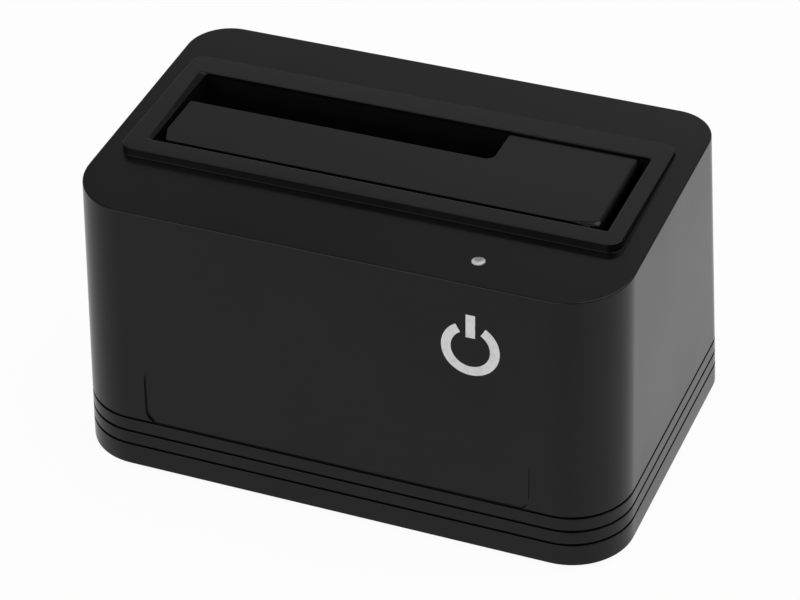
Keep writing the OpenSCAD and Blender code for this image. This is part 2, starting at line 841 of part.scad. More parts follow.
module contact_row(x0, length, count) {
    start = x0 + (length - blade_w - (count - 1) * contact_pitch) / 2;
    for (i = [0:count - 1])
        translate([start + i * contact_pitch - contact_w / 2, sata_y + blade_w / 2 - contact_t,
            sata_top - blade_d])
            cube([contact_w, contact_t, blade_d - 2 * contact_w]);
}

module sata_contacts() {
    color(gold) {
        contact_row(power_x0, power_l, 15);
        contact_row(data_x0, data_l, 7);
    }
}

module usb_shell() {
    color(steel)
    difference() {
        translate([usb_x - usb_w / 2, port_face - usb_d, board_top])
            cube([usb_w, usb_d, port_h]);
        translate([usb_x - usb_w / 2 + usb_sheet, port_face - usb_d + usb_sheet, board_top + usb_sheet])
            cube([usb_w - 2 * usb_sheet, usb_d, port_h - 2 * usb_sheet]);
    }
}

// The insert's mouth has two bevelled upper corners, and a tongue stands in its middle
module usb_insert() {
    w = usb_w - 2 * usb_sheet;
    h = port_h - 2 * usb_sheet;
    d = usb_d - usb_sheet - usb_set_back;
    bevel = usb_mouth_w / 5;
    x = usb_mouth_w / 2;
    z = usb_mouth_h / 2;
    color(inner_black)
    union() {
        difference() {
            translate([usb_x - w / 2, usb_face - d, port_mid_z - h / 2])
                cube([w, d, h]);
            translate([usb_x, usb_face + over, port_mid_z])
                rotate([90, 0, 0])
                    linear_extrude(usb_mouth_d + over)
                        polygon([[-x, -z], [x, -z], [x, z - bevel], [x - bevel, z],
                            [bevel - x, z], [-x, z - bevel]]);
        }
        translate([usb_x - usb_tongue_w / 2, usb_face - usb_mouth_d - over, port_mid_z - usb_tongue_h / 2])
            cube([usb_tongue_w, usb_mouth_d + over - usb_set_back, usb_tongue_h]);
    }
}

module usb_contacts() {
    color(gold)
    for (sx = [-1, 1], sz = [-1, 1])
        translate([usb_x + sx * usb_tongue_w / 4 - contact_w / 2, usb_face - usb_mouth_d,
            port_mid_z + sz * (usb_tongue_h + contact_t) / 2 - contact_t / 2])
            cube([contact_w, usb_mouth_d * 0.8, contact_t]);
}

module inlet_body() {
    color(inner_black)
    difference() {
        translate([inlet_x - inlet_w / 2, port_face - inlet_d, board_top])
            cube([inlet_w, inlet_d, port_h]);
        translate([inlet_x, port_face + over, port_mid_z])
            rotate([90, 0, 0])
                cylinder(r = inlet_r, h = inlet_bore + over);
    }
}

module inlet_pin() {
    color(steel)
        translate([inlet_x, port_face - inlet_set_back, port_mid_z])
            rotate([90, 0, 0])
                cylinder(r = inlet_pin_r, h = inlet_bore - inlet_set_back);
}

// The side contact lies against the floor of the socket's bore
module inlet_contact() {
    strip_w = 2;
    color(steel)
    intersection() {
        translate([inlet_x, port_face - inlet_set_back, port_mid_z])
            rotate([90, 0, 0])
                difference() {
                    cylinder(r = inlet_r, h = inlet_bore - inlet_set_back);
                    translate([0, 0, -over])
                        cylinder(r = inlet_r - contact_t, h = inlet_bore + over);
                }
        translate([inlet_x - strip_w / 2, port_face - inlet_bore, board_top])
            cube([strip_w, inlet_bore, port_h / 2]);
    }
}

module switch_body() {
    cavity_w = switch_w - 2 * switch_wall;
    cavity_d = rocker_sink + rocker_heel + switch_wall;
    color(inner_black)
    difference() {
        translate([switch_x - switch_w / 2, port_face - switch_d, board_top])
            cube([switch_w, switch_d, port_h]);
        translate([switch_x - cavity_w / 2, port_face - cavity_d, port_mid_z - rocker_h / 2 - rocker_play])
            cube([cavity_w, cavity_d + over, rocker_h + 2 * rocker_play]);
        translate([switch_x, pivot_y, port_mid_z - rocker_h / 2 - trunnion_l - rocker_play])
            cylinder(r = trunnion_r + trunnion_gap, h = rocker_h + 2 * (trunnion_l + rocker_play));
    }
}

// The rocker is drawn level and then tipped to its off position
module switch_rocker() {
    color(shell_black)
    translate([switch_x, pivot_y, port_mid_z])
        rotate([0, 0, -rocker_throw / 2]) {
            translate([0, 0, -rocker_h / 2])
                linear_extrude(rocker_h)
                    polygon([[-rocker_half, rocker_heel], [-rocker_half, rocker_nose], [0, rocker_dip],
                        [rocker_half, rocker_nose], [rocker_half, rocker_heel],
                        [rocker_heel, -rocker_heel], [-rocker_heel, -rocker_heel]]);
            translate([0, 0, -rocker_h / 2 - trunnion_l])
                cylinder(r = trunnion_r, h = rocker_h + 2 * trunnion_l);
        }
}

module switch_terminals() {
    tab_w = 2;
    tab_t = 0.5;
    tab_l = 3;
    back = port_face - switch_d;
    color(steel)
    for (sx = [-1, 0, 1])
        translate([switch_x + sx * switch_w / 3 - tab_w / 2, back - tab_l, board_top]) {
            translate([0, 0, port_h / 2])
                cube([tab_w, tab_l, tab_t]);
            cube([tab_w, tab_t, port_h / 2 + tab_t]);
        }
}

module status_led() {
    led_l = 3.2;
    led_w = 1.6;
    color(white_plastic)
        translate([light_x - led_l / 2, light_y - led_w / 2, board_top])
            cube([led_l, led_w, led_h]);
}

// A clear rod from the lamp on the board to a domed tip in the top, with a collar under its boss
module light_pipe() {
    low = board_top + led_h + led_gap;
    tip = roof_z(light_y) + light_proud;
    dome_r = (light_r * light_r + light_proud * light_proud) / (2 * light_proud);
    color(white_plastic) {
        intersection() {
            translate([light_x, light_y, low])
                cylinder(r = light_r, h = tip - low);
            union() {
                translate([light_x, light_y, tip - dome_r])
                    sphere(r = dome_r);
                translate([light_x, light_y, low - over])
                    cylinder(r = 2 * light_r, h = tip - dome_r - low + over);
            }
        }
        translate([light_x, light_y, roof_z(light_y) - roof - light_boss_h - collar_h])
            cylinder(r = light_r + wall / 2, h = collar_h);
    }
}

module rubber_feet() {
    soft = 0.6;
    color(rubber_black)
    at_feet() {
        translate([0, 0, soft])
            cylinder(r = foot_r, h = z_base + foot_seat - soft);
        cylinder(r1 = foot_r - soft, r2 = foot_r, h = soft);
    }
}

// A cross-recessed screw that points up from its head's seat
module screw(thread_r, head_r, length) {
    cross_l = head_r * 1.2;
    cross_w = head_r * 0.3;
    difference() {
        union() {
            translate([0, 0, -head_h])
                cylinder(r = head_r, h = head_h);
            translate([0, 0, -skin])
                cylinder(r = thread_r, h = length + skin);
        }
        for (a = [0, 90])
            rotate([0, 0, a])
                translate([-cross_l / 2, -cross_w / 2, -head_h - over])
                    cube([cross_l, cross_w, over + head_h * 0.6]);
    }
}

module case_screws() {
    seat = z_base + head_seat;
    color(steel)
    at_posts()
        translate([0, 0, seat])
            screw(case_screw_r, case_head_r, post_z - seat + case_grip);
}

module board_screws() {
    color(steel)
    at_board_holes()
        translate([0, 0, board_top])
            mirror([0, 0, 1])
                screw(small_screw_r, small_head_r, board_t + small_grip);
}

module well_screws() {
    color(steel)
    at_lugs()
        translate([0, 0, lug_z - lug_t])
            screw(small_screw_r, small_head_r, lug_t + small_grip);
}

// A chip with a row of leads on each of the given sides
module chip(w, d, h, leads, pitch, sides) {
    lead_w = pitch / 2;
    lead_l = 0.7 * h;
    lead_t = 0.14 * h;
    translate([-w / 2, -d / 2, lead_t])
        cube([w, d, h - lead_t]);
    for (a = sides)
        rotate([0, 0, a])
            for (i = [0:leads - 1])
                translate([(i - (leads - 1) / 2) * pitch - lead_w / 2, d / 2 - lead_l / 2, 0])
                    cube([lead_w, 1.5 * lead_l, 2 * lead_t]);
}

module bridge_chip() {
    color(chip_black)
        translate([bridge_x, 0, board_top])
            chip(bridge_w, bridge_w, bridge_h, 12, bridge_pitch, [0, 90, 180, 270]);
}

module memory_chip() {
    color(chip_black)
        translate([memory_x, 0, board_top])
            chip(memory_w, memory_d, memory_h, 4, memory_pitch, [0, 180]);
}

module clock_crystal() {
    crystal_l = 10;
    crystal_w = 4.4;
    crystal_h = 3.4;
    color(steel)
        translate([crystal_x, front_bay_y, board_top])
            linear_extrude(crystal_h) {
                square([crystal_l - crystal_w, crystal_w], center = true);
                for (sx = [-1, 1])
                    translate([sx * (crystal_l - crystal_w) / 2, 0])
                        circle(r = crystal_w / 2 - skin);
            }
}

module filter_capacitors() {
    can_r = 3.1;
    can_h = 7.7;
    foot_w = 6.6;
    foot_h = 1;
    color(steel)
    for (i = [0:2])
        translate([capacitor_x + i * coil_part_pitch, front_bay_y, board_top]) {
            translate([-foot_w / 2, -foot_w / 2, 0])
                cube([foot_w, foot_w, foot_h]);
            cylinder(r = can_r, h = can_h);
        }
}

module power_inductors() {
    drum_r = 3.8;
    drum_h = 4.6;
    flange_h = 0.9;
    color(ferrite_grey)
    for (i = [0:1])
        translate([inductor_x + i * coil_part_pitch, front_bay_y, board_top]) {
            cylinder(r = drum_r, h = flange_h);
            cylinder(r = drum_r * 0.75, h = drum_h);
            translate([0, 0, drum_h - flange_h])
                cylinder(r = drum_r, h = flange_h);
        }
}

module voltage_regulator() {
    case_w = 6.6;
    case_d = 6;
    case_h = 2.3;
    tab_w = 5.4;
    tab_l = 2;
    lead_w = 0.8;
    lead_l = 2.5;
    lead_t = 0.5;
    color(chip_black)
        translate([regulator_x, 0, board_top]) {
            translate([-case_w / 2, -case_d / 2, 0])
                cube([case_w, case_d, case_h]);
            translate([-tab_w / 2, case_d / 2 - lead_t, 0])
                cube([tab_w, tab_l, lead_t]);
            for (sx = [-1, 1])
                translate([sx * case_w / 3 - lead_w / 2, lead_t - case_d / 2 - lead_l, 0])
                    cube([lead_w, lead_l, lead_t]);
        }
}

upper_housing();
base_cover();
drive_well();
flap_door();
flap_hinge_pin();
flap_spring();
main_board();
sata_connector();
sata_contacts();
usb_shell();
usb_insert();
usb_contacts();
inlet_body();
inlet_pin();
inlet_contact();
switch_body();
switch_rocker();
switch_terminals();
status_led();
light_pipe();
rubber_feet();
case_screws();
board_screws();
well_screws();
bridge_chip();
memory_chip();
clock_crystal();
filter_capacitors();
power_inductors();
voltage_regulator();
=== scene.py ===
# Looks of the hard drive docking station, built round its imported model.
# Lengths are in millimetres and turned to metres where they are used. Those in materials,
# and those of the floor, the lamps and the camera's clipping, are in metres.
import json
import math

import bmesh
import bpy
from mathutils import Matrix, Vector

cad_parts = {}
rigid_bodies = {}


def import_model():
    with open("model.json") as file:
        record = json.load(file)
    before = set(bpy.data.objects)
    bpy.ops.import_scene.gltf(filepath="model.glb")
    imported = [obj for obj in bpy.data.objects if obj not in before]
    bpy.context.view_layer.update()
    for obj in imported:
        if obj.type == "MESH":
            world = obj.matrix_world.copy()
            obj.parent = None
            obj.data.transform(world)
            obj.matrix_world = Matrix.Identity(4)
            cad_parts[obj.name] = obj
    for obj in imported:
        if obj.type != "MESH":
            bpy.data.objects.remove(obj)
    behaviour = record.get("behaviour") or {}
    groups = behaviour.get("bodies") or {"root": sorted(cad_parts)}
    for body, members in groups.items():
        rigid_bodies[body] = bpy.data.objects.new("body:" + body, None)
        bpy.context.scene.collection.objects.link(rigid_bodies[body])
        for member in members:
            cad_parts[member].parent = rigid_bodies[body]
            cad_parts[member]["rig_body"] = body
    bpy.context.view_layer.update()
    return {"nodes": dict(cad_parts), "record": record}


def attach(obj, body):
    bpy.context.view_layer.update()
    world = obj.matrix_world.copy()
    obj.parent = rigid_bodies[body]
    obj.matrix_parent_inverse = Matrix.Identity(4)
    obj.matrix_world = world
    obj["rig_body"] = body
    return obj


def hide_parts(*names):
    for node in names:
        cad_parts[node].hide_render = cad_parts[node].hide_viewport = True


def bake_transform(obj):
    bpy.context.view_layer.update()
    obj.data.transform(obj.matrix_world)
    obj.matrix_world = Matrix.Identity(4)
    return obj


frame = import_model()
nodes = frame["nodes"]

# One millimetre in metres, and how near two points are, in metres, that are welded or merged
MM = 0.001
WELD = 1e-6
MERGE = 4e-6
# How near an edge lies, in millimetres, to the place where it is looked for
TOUCH = 0.01
NEAR = 0.1
# How far a cutter reaches past what it cuts, and the ways that round ones point
OVER = 1.0
ALONG_Y = (0, 1, 0)
ALONG_Z = (0, 0, 1)

# Sizes of the body, as in the part's source, but with the sharper edges that the photograph shows
Z_BASE = 1.5
FRONT_H = 67.0
BASE_W = 129.0
BASE_D = 81.6
TOP_W = 125.4
TOP_D = 74.8
TOP_RISE = 2.0
FRONT_R = 14.3
REAR_R = 9.8
WALL = 2.2
ROOF = 2.4
EDGE_R = 0.3
BAND_H = 5.25
FLOOR_T = 2.0
BASE_EDGE_R = 0.3
FINE_EDGE_R = 0.15
BASE_SHY = 0.055
RIM_H = 2.5
RIM_T = 1.2
RIM_GAP = 0.15
GROOVE_H = 0.6
GROOVE_D = 0.6
GROOVE_PITCH = 3.55
GROOVES = 3
Z_PART = Z_BASE + BAND_H
Z_FRONT = Z_BASE + FRONT_H
Z_REAR = Z_FRONT + TOP_RISE

# Sizes of the slot, its frame and its flap, with the wider rear band that the photograph shows
SLOT_X = 52.8
SLOT_Y0 = -12.1
SLOT_Y1 = 16.3
SLOT_R = 0.4
MOUTH_R = 0.6
FRAME_X0 = -58.1
FRAME_X1 = 57.1
FRAME_Y0 = -17.7
FRAME_Y1 = 22.6
FRAME_Z = 71.0
FRAME_R = 3.0
FRAME_FLARE = 0.15
LIP = 1.0
LIP_BEVEL = 0.5
LIP_FRONT = 1.0
LIP_FRONT_DROP = 0.85
LIP_LEAD = 1.6
LIP_REAR = 0.05
SEAT = 1.85
AXIS_Y = -10.95
AXIS_Z = 68.9
HINGE_R = 0.9
FLAP_TOP = 70.35
FLAP_T = 1.6
FLAP_X0 = -51.4
FLAP_X1 = 50.9
FLAP_Y0 = -11.2
FLAP_Y1 = 15.9
FLAP_END_R = 1.4
FLAP_FRONT_R = 0.4
FLAP_CORNER_R = 2.2
FLAP_EDGE_R = 0.2
BARREL_EDGE_R = 0.3
NOTCH_X = 20.7
NOTCH_Y = 5.2
NOTCH_R = 2.0
NOTCH_END_R = 0.8
RELIEF_X = -49.8
RELIEF_Y = -6.95
STOP_Z = 69.5

# How far the front and rear walls lean
DRAFT = math.atan((BASE_D - TOP_D) / 2 / FRONT_H)

# How many steps make up round forms
CORNER_STEPS = 16
ROD_STEPS = 48
BARREL_STEPS = 40
RING_STEPS = 96

# The angle past which an edge is shaded sharp, those past which it is rounded after a cut,
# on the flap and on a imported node, and the one below which triangles are joined
SHARP = math.radians(40)
CUT_ANGLE = math.radians(50)
FLAP_ANGLE = math.radians(60)
NODE_ANGLE = math.radians(35)
FLAT_ANGLE = math.radians(1)


def half_width(z):
    return (BASE_W - (BASE_W - TOP_W) * (z - Z_BASE) / FRONT_H) / 2


def half_depth(z):
    return (BASE_D - (BASE_D - TOP_D) * (z - Z_BASE) / FRONT_H) / 2


def roof_height(y):
    return Z_FRONT + (y + TOP_D / 2) * TOP_RISE / TOP_D


def new_piece(name, bm, body):
    """Makes an object of a bmesh, which rides on a body if one is named."""
    mesh = bpy.data.meshes.new(name)
    bm.to_mesh(mesh)
    bm.free()
    piece = bpy.data.objects.new(name, mesh)
    bpy.context.scene.collection.objects.link(piece)
    if body:
        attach(piece, body)
    return piece


def smooth(piece):
    """Shades a piece smooth, with its sharp edges kept and its flat faces flat."""
    mesh = piece.data
    mesh.polygons.foreach_set("use_smooth", [True] * len(mesh.polygons))
    mesh.set_sharp_from_angle(angle=SHARP)
    even = piece.modifiers.new("even_normals", "WEIGHTED_NORMAL")
    even.keep_sharp = True
    return piece


def round_edges(bm, edges, radius, steps=3):
    bmesh.ops.bevel(bm, geom=edges, offset=radius * MM, affect="EDGES", segments=steps, profile=0.5,
                    clamp_overlap=True, material=-1)


def clean(bm):
    """Merges points that fell together and takes out faces without an area."""
    bmesh.ops.remove_doubles(bm, verts=bm.verts, dist=MERGE)
    bmesh.ops.dissolve_degenerate(bm, dist=MERGE, edges=bm.edges)


def sharp_edges(bm, angle):
    return [e for e in bm.edges if e.is_manifold and e.calc_face_angle() > angle]


def outline(bm, corners, front_r, rear_r):
    """A closed loop of edges through four corners, the front pair first, with the corners rounded."""
    before = set(bm.edges)
    points = [bm.verts.new(Vector(c) * MM) for c in corners]
    bm.faces.new(points)
    for pair, radius in ((points[:2], front_r), (points[2:], rear_r)):
        bmesh.ops.bevel(bm, geom=pair, offset=radius * MM, affect="VERTICES", segments=CORNER_STEPS,
                        profile=0.5, clamp_overlap=False, material=-1)
    edges = [e for e in bm.edges if e not in before]
    faces = {f for e in edges for f in e.link_faces}
    bmesh.ops.delete(bm, geom=list(faces), context="FACES_ONLY")
    return edges


def body_outline(bm, z_front, z_rear, inset):
    """The body's outline between a front and a rear height, set in by a distance."""
    front = (half_width(z_front) - inset, inset - half_depth(z_front), z_front)
    rear = (half_width(z_rear) - inset, half_depth(z_rear) - inset, z_rear)
    corners = [(-front[0], front[1], front[2]), front, rear, (-rear[0], rear[1], rear[2])]
    return outline(bm, corners, FRONT_R - inset, REAR_R - inset)


def slot_outline(bm, x0, x1, y0, y1, radius, height, taper=0.0):
    """A rectangle round the slot, at one height or at one that follows from y. Its left end can lean."""
    low = height(y0) if callable(height) else height
    high = height(y1) if callable(height) else height
    corners = [(x0 + taper, y0, low), (x1, y0, low), (x1, y1, high), (x0, y1, high)]
    return outline(bm, corners, radius, radius)


def roof_underside(y):
    return roof_height(y) - ROOF


def lip_bevel_foot(y):
    """Height of the lip's bevel at its foot, which is lowest along the front."""
    return FRAME_Z - (LIP_BEVEL if y > 0 else LIP_FRONT_DROP)


def bridge(bm, loops):
    """Joins each loop to the next, which is lifted well clear while they are paired."""
    clear = Vector((0, 0, 1))
    for low, high in zip(loops, loops[1:]):
        points = list({v for e in high for v in e.verts})
        bmesh.ops.translate(bm, vec=clear, verts=points)
        bmesh.ops.bridge_loops(bm, edges=low + high)
        bmesh.ops.translate(bm, vec=-clear, verts=points)


def box_cutter(name, low, high, corner_r=0.0, axis=1):
    """A block to cut with, whose edges along one axis are rounded."""
    bm = bmesh.new()
    size = Vector(high) - Vector(low)
    middle = (Vector(high) + Vector(low)) / 2
    bmesh.ops.create_cube(bm, size=MM)
    bmesh.ops.scale(bm, vec=size, verts=bm.verts)
    if corner_r:
        half = size[axis] / 2 * MM
        along = [e for e in bm.edges if abs((e.verts[0].co - e.verts[1].co)[axis]) > half]
        round_edges(bm, along, corner_r, 8)
    bmesh.ops.translate(bm, vec=middle * MM, verts=bm.verts)
    return new_piece(name, bm, None)


def rod_cutter(name, centre, radius, length, axis):
    """A round bar to cut with, from its centre along one axis."""
    bm = bmesh.new()
    bmesh.ops.create_cone(bm, cap_ends=True, segments=ROD_STEPS, radius1=radius * MM,
                          radius2=radius * MM, depth=length * MM)
    turn = Vector((0, 0, 1)).rotation_difference(Vector(axis)).to_matrix()
    bmesh.ops.rotate(bm, cent=(0, 0, 0), matrix=turn, verts=bm.verts)
    bmesh.ops.translate(bm, vec=Vector(centre) * MM, verts=bm.verts)
    return new_piece(name, bm, None)


def cut(piece, cutters):
    """Takes the cutters out of a piece, and removes them."""
    for cutter in cutters:
        step = piece.modifiers.new(cutter.name, "BOOLEAN")
        step.operation = "DIFFERENCE"
        step.solver = "EXACT"
        step.object = cutter
    graph = bpy.context.evaluated_depsgraph_get()
    finished = bpy.data.meshes.new_from_object(piece.evaluated_get(graph))
    piece.modifiers.clear()
    piece.data = finished
    for cutter in cutters:
        bpy.data.objects.remove(cutter)


def reopen(piece):
    bm = bmesh.new()
    bm.from_mesh(piece.data)
    return bm


def reclose(piece, bm):
    bm.to_mesh(piece.data)
    bm.free()


# The front field is sunk square to the leaning wall, its foot runs into the top groove,
# and a fine slit runs down its right end
FIELD_W = 90.6
FIELD_LOW = Z_PART + (GROOVES - 1) * GROOVE_PITCH + GROOVE_H / 2
FIELD_HIGH = Z_BASE + 26.8
FIELD_D = 0.5
FIELD_R = 3.0
FIELD_RIM_R = 0.24
FIELD_FOOT_R = 0.2
FIELD_REACH = 47.0
FIELD_ROOM = 1.0
SLIT_W = 0.27
SLIT_D = 0.9
SLIT_LOW = FIELD_LOW + FIELD_R
SLIT_HIGH = FIELD_HIGH - FIELD_R


def field_cutter(name, x0, x1, low, high, depth, corner_r):
    """A block to cut square into the leaning front wall, between two places across and two heights."""
    middle = (low + high) / 2
    bm = bmesh.new()
    bmesh.ops.create_cube(bm, size=MM)
    bmesh.ops.scale(bm, vec=(x1 - x0, 4 * depth, high - low), verts=bm.verts)
    if corner_r:
        through = [e for e in bm.edges if abs(e.verts[0].co.y - e.verts[1].co.y) > depth * MM]
        round_edges(bm, through, corner_r, 10)
    bmesh.ops.translate(bm, vec=(0, -depth * MM, 0), verts=bm.verts)
    bmesh.ops.rotate(bm, cent=(0, 0, 0), matrix=Matrix.Rotation(-DRAFT, 3, "X"), verts=bm.verts)
    place = Vector(((x0 + x1) / 2, -half_depth(middle), middle))
    bmesh.ops.translate(bm, vec=place * MM, verts=bm.verts)
    return new_piece(name, bm, None)


# The ports' windows in the rear wall
PORT_FACE = 37.116
PORT_LOW = 15.8
PORT_HIGH = 26.8
PORT_MID = (PORT_LOW + PORT_HIGH) / 2
PORTS_REACH = 40.0
PORTS_ROOM = 2.0
WINDOW_GAP = 0.3
WINDOW_R = 0.4
WINDOW_RIM_R = 0.12
DATA_X = 0.0
DATA_W = 12.0
SWITCH_X = 27.0
SWITCH_W = 14.8
INLET_X = -27.0
INLET_Y = PORT_FACE + 2.0
INLET_R = 4.8
INLET_L = 6.0

# The light's hole in the top, and the space for the pin's bent end beside the slot
LIGHT_X = 30.5
LIGHT_Y = -29.1
LIGHT_R = 1.55
LIGHT_L = 8.0
CRANK_LOW = (SLOT_X, AXIS_Y - 1.0, Z_FRONT - 4.0)
CRANK_HIGH = (SLOT_X + 3.3, AXIS_Y + 5.0, STOP_Z)


def window_cutter(name, x, width):
    low = (x - width / 2 - WINDOW_GAP, PORT_FACE - OVER, PORT_LOW - WINDOW_GAP)
    high = (x + width / 2 + WINDOW_GAP, BASE_D / 2 + OVER, PORT_HIGH + WINDOW_GAP)
    return box_cutter(name, low, high, WINDOW_R)


def make_housing():
    bm = bmesh.new()
    loops = [body_outline(bm, Z_PART, Z_PART, GROOVE_D)]
    grooves = []
    for i in range(GROOVES):
        low = Z_PART + i * GROOVE_PITCH
        high = low + GROOVE_H
        if i > 0:
            loops.append(body_outline(bm, low, low, 0))
            grooves.append(loops[-1])
            loops.append(body_outline(bm, low, low, GROOVE_D))
        loops.append(body_outline(bm, high, high, GROOVE_D))
        loops.append(body_outline(bm, high, high, 0))
        grooves.append(loops[-1])
    top_edge = body_outline(bm, Z_FRONT, Z_REAR, 0)
    foot = (
        FRAME_X0 - FRAME_FLARE, FRAME_X1 + FRAME_FLARE, FRAME_Y0 - FRAME_FLARE, FRAME_Y1 + FRAME_FLARE,
    )
    frame_foot = slot_outline(bm, *foot, FRAME_R, roof_height)
    frame_edge = slot_outline(bm, FRAME_X0, FRAME_X1, FRAME_Y0, FRAME_Y1, FRAME_R, FRAME_Z)
    mouth = (-SLOT_X - LIP_LEAD, SLOT_X + LIP_BEVEL, SLOT_Y0 - LIP_FRONT, SLOT_Y1 + LIP_REAR)
    slot = (-SLOT_X, SLOT_X, SLOT_Y0, SLOT_Y1)
    seat = (-SLOT_X - SEAT, SLOT_X + SEAT, SLOT_Y0 - SEAT, SLOT_Y1 + SEAT)
    slot_mouth = slot_outline(bm, *mouth, MOUTH_R, FRAME_Z, LIP_LEAD - LIP_BEVEL)
    slot_edge = slot_outline(bm, *slot, SLOT_R, lip_bevel_foot)
    lip_edge = slot_outline(bm, *slot, SLOT_R, FRAME_Z - LIP)
    seat_edge = slot_outline(bm, *seat, SLOT_R, FRAME_Z - LIP)
    seat_foot = slot_outline(bm, *seat, SLOT_R, roof_underside)
    inner_top = body_outline(bm, Z_FRONT - ROOF, Z_REAR - ROOF, WALL)
    inner_foot = body_outline(bm, Z_PART, Z_PART, WALL)
    loops += [top_edge, frame_foot, frame_edge, slot_mouth, slot_edge, lip_edge, seat_edge, seat_foot]
    loops += [inner_top, inner_foot]
    bridge(bm, loops + [loops[0]])
    round_edges(bm, top_edge, EDGE_R, 4)
    round_edges(bm, frame_foot, FINE_EDGE_R, 2)
    for edges in [frame_edge, slot_mouth] + grooves:
        round_edges(bm, edges, FINE_EDGE_R)
    bmesh.ops.recalc_face_normals(bm, faces=bm.faces)
    housing = new_piece("housing_shell", bm, "dock")
    cut(housing, [
        field_cutter("field_cutter", -FIELD_W / 2, FIELD_W / 2, FIELD_LOW, FIELD_HIGH, FIELD_D, FIELD_R),
        field_cutter("slit_cutter", FIELD_W / 2 - SLIT_W, FIELD_W / 2, SLIT_LOW, SLIT_HIGH, SLIT_D, 0),
        window_cutter("data_cutter", DATA_X, DATA_W),
        window_cutter("switch_cutter", SWITCH_X, SWITCH_W),
        rod_cutter("inlet_cutter", (INLET_X, INLET_Y, PORT_MID), INLET_R, INLET_L, ALONG_Y),
        rod_cutter("light_cutter", (LIGHT_X, LIGHT_Y, Z_FRONT), LIGHT_R, LIGHT_L, ALONG_Z),
        box_cutter("crank_cutter", CRANK_LOW, CRANK_HIGH),
    ])
    bm = reopen(housing)
    round_edges(bm, [e for e in sharp_edges(bm, CUT_ANGLE) if on_window_rim(e)], WINDOW_RIM_R, 2)
    round_edges(bm, [e for e in sharp_edges(bm, CUT_ANGLE) if in_field(e, 0)], FIELD_RIM_R)
    round_edges(bm, [e for e in sharp_edges(bm, CUT_ANGLE) if in_field(e, FIELD_D)], FIELD_FOOT_R)
    clean(bm)
    reclose(housing, bm)
    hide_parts("upper_housing")
    return smooth(housing)


def edge_middle(edge):
    return (edge.verts[0].co + edge.verts[1].co) / 2 / MM


def on_window_rim(edge):
    """Whether an edge is where a window meets the outside of the rear wall."""
    spot = edge_middle(edge)
    outside = spot.y > half_depth(spot.z) - NEAR
    level = PORT_LOW - PORTS_ROOM < spot.z < PORT_HIGH + PORTS_ROOM
    return outside and level and abs(spot.x) < PORTS_REACH


def in_field(edge, depth):
    """Whether an edge of the front field lies at a depth from the outside of the front wall."""
    spot = edge_middle(edge)
    deep = abs(spot.y + half_depth(spot.z) - depth) < NEAR
    level = FIELD_LOW + FIELD_ROOM < spot.z < FIELD_HIGH + FIELD_ROOM
    return deep and level and abs(spot.x) < FIELD_REACH


# The vents, the feet's seats and the screws' counterbores in the base cover
VENTS = 9
VENT_W = 2.0
VENT_L = 18.0
VENT_R = 0.98
VENT_PITCH = 5.0
POST_X = 53.0
POST_Y = 29.5
FOOT_X = 40.0
FOOT_Y = 30.0
FOOT_SEAT_R = 5.15
FOOT_SEAT_D = 0.5
HEAD_R = 3.0
HEAD_D = 2.3
CORNERS = [(-1, -1), (1, -1), (1, 1), (-1, 1)]


def make_base():
    bm = bmesh.new()
    inner = WALL + RIM_GAP
    floor = Z_BASE + FLOOR_T
    under = body_outline(bm, Z_BASE, Z_BASE, BASE_SHY)
    band_edge = body_outline(bm, Z_PART, Z_PART, 0)
    loops = [
        under,
        band_edge,
        body_outline(bm, Z_PART, Z_PART, inner),
        body_outline(bm, Z_PART + RIM_H, Z_PART + RIM_H, inner),
        body_outline(bm, Z_PART + RIM_H, Z_PART + RIM_H, inner + RIM_T),
        body_outline(bm, floor, floor, inner + RIM_T),
    ]
    bridge(bm, loops)
    bmesh.ops.edgeloop_fill(bm, edges=under)
    bmesh.ops.edgeloop_fill(bm, edges=loops[-1])
    round_edges(bm, under, BASE_EDGE_R, 5)
    round_edges(bm, band_edge, FINE_EDGE_R)
    bmesh.ops.recalc_face_normals(bm, faces=bm.faces)
    base = new_piece("base_shell", bm, "dock")
    cutters = []
    for i in range(VENTS):
        x = (i - (VENTS - 1) / 2) * VENT_PITCH
        low = (x - VENT_W / 2, -VENT_L / 2, Z_BASE - OVER)
        high = (x + VENT_W / 2, VENT_L / 2, floor + OVER)
        cutters.append(box_cutter(f"vent_cutter_{i}", low, high, VENT_R, axis=2))
    for i, (side, end) in enumerate(CORNERS):
        seat = (side * FOOT_X, end * FOOT_Y, Z_BASE)
        head = (side * POST_X, end * POST_Y, Z_BASE)
        cutters.append(rod_cutter(f"seat_cutter_{i}", seat, FOOT_SEAT_R, 2 * FOOT_SEAT_D, ALONG_Z))
        cutters.append(rod_cutter(f"head_cutter_{i}", head, HEAD_R, 2 * HEAD_D, ALONG_Z))
    cut(base, cutters)
    bm = reopen(base)
    holes = [e for e in sharp_edges(bm, CUT_ANGLE) if abs(edge_middle(e).z - Z_BASE) < TOUCH]
    round_edges(bm, holes, FINE_EDGE_R, 2)
    clean(bm)
    reclose(base, bm)
    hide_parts("base_cover")
    return smooth(base)


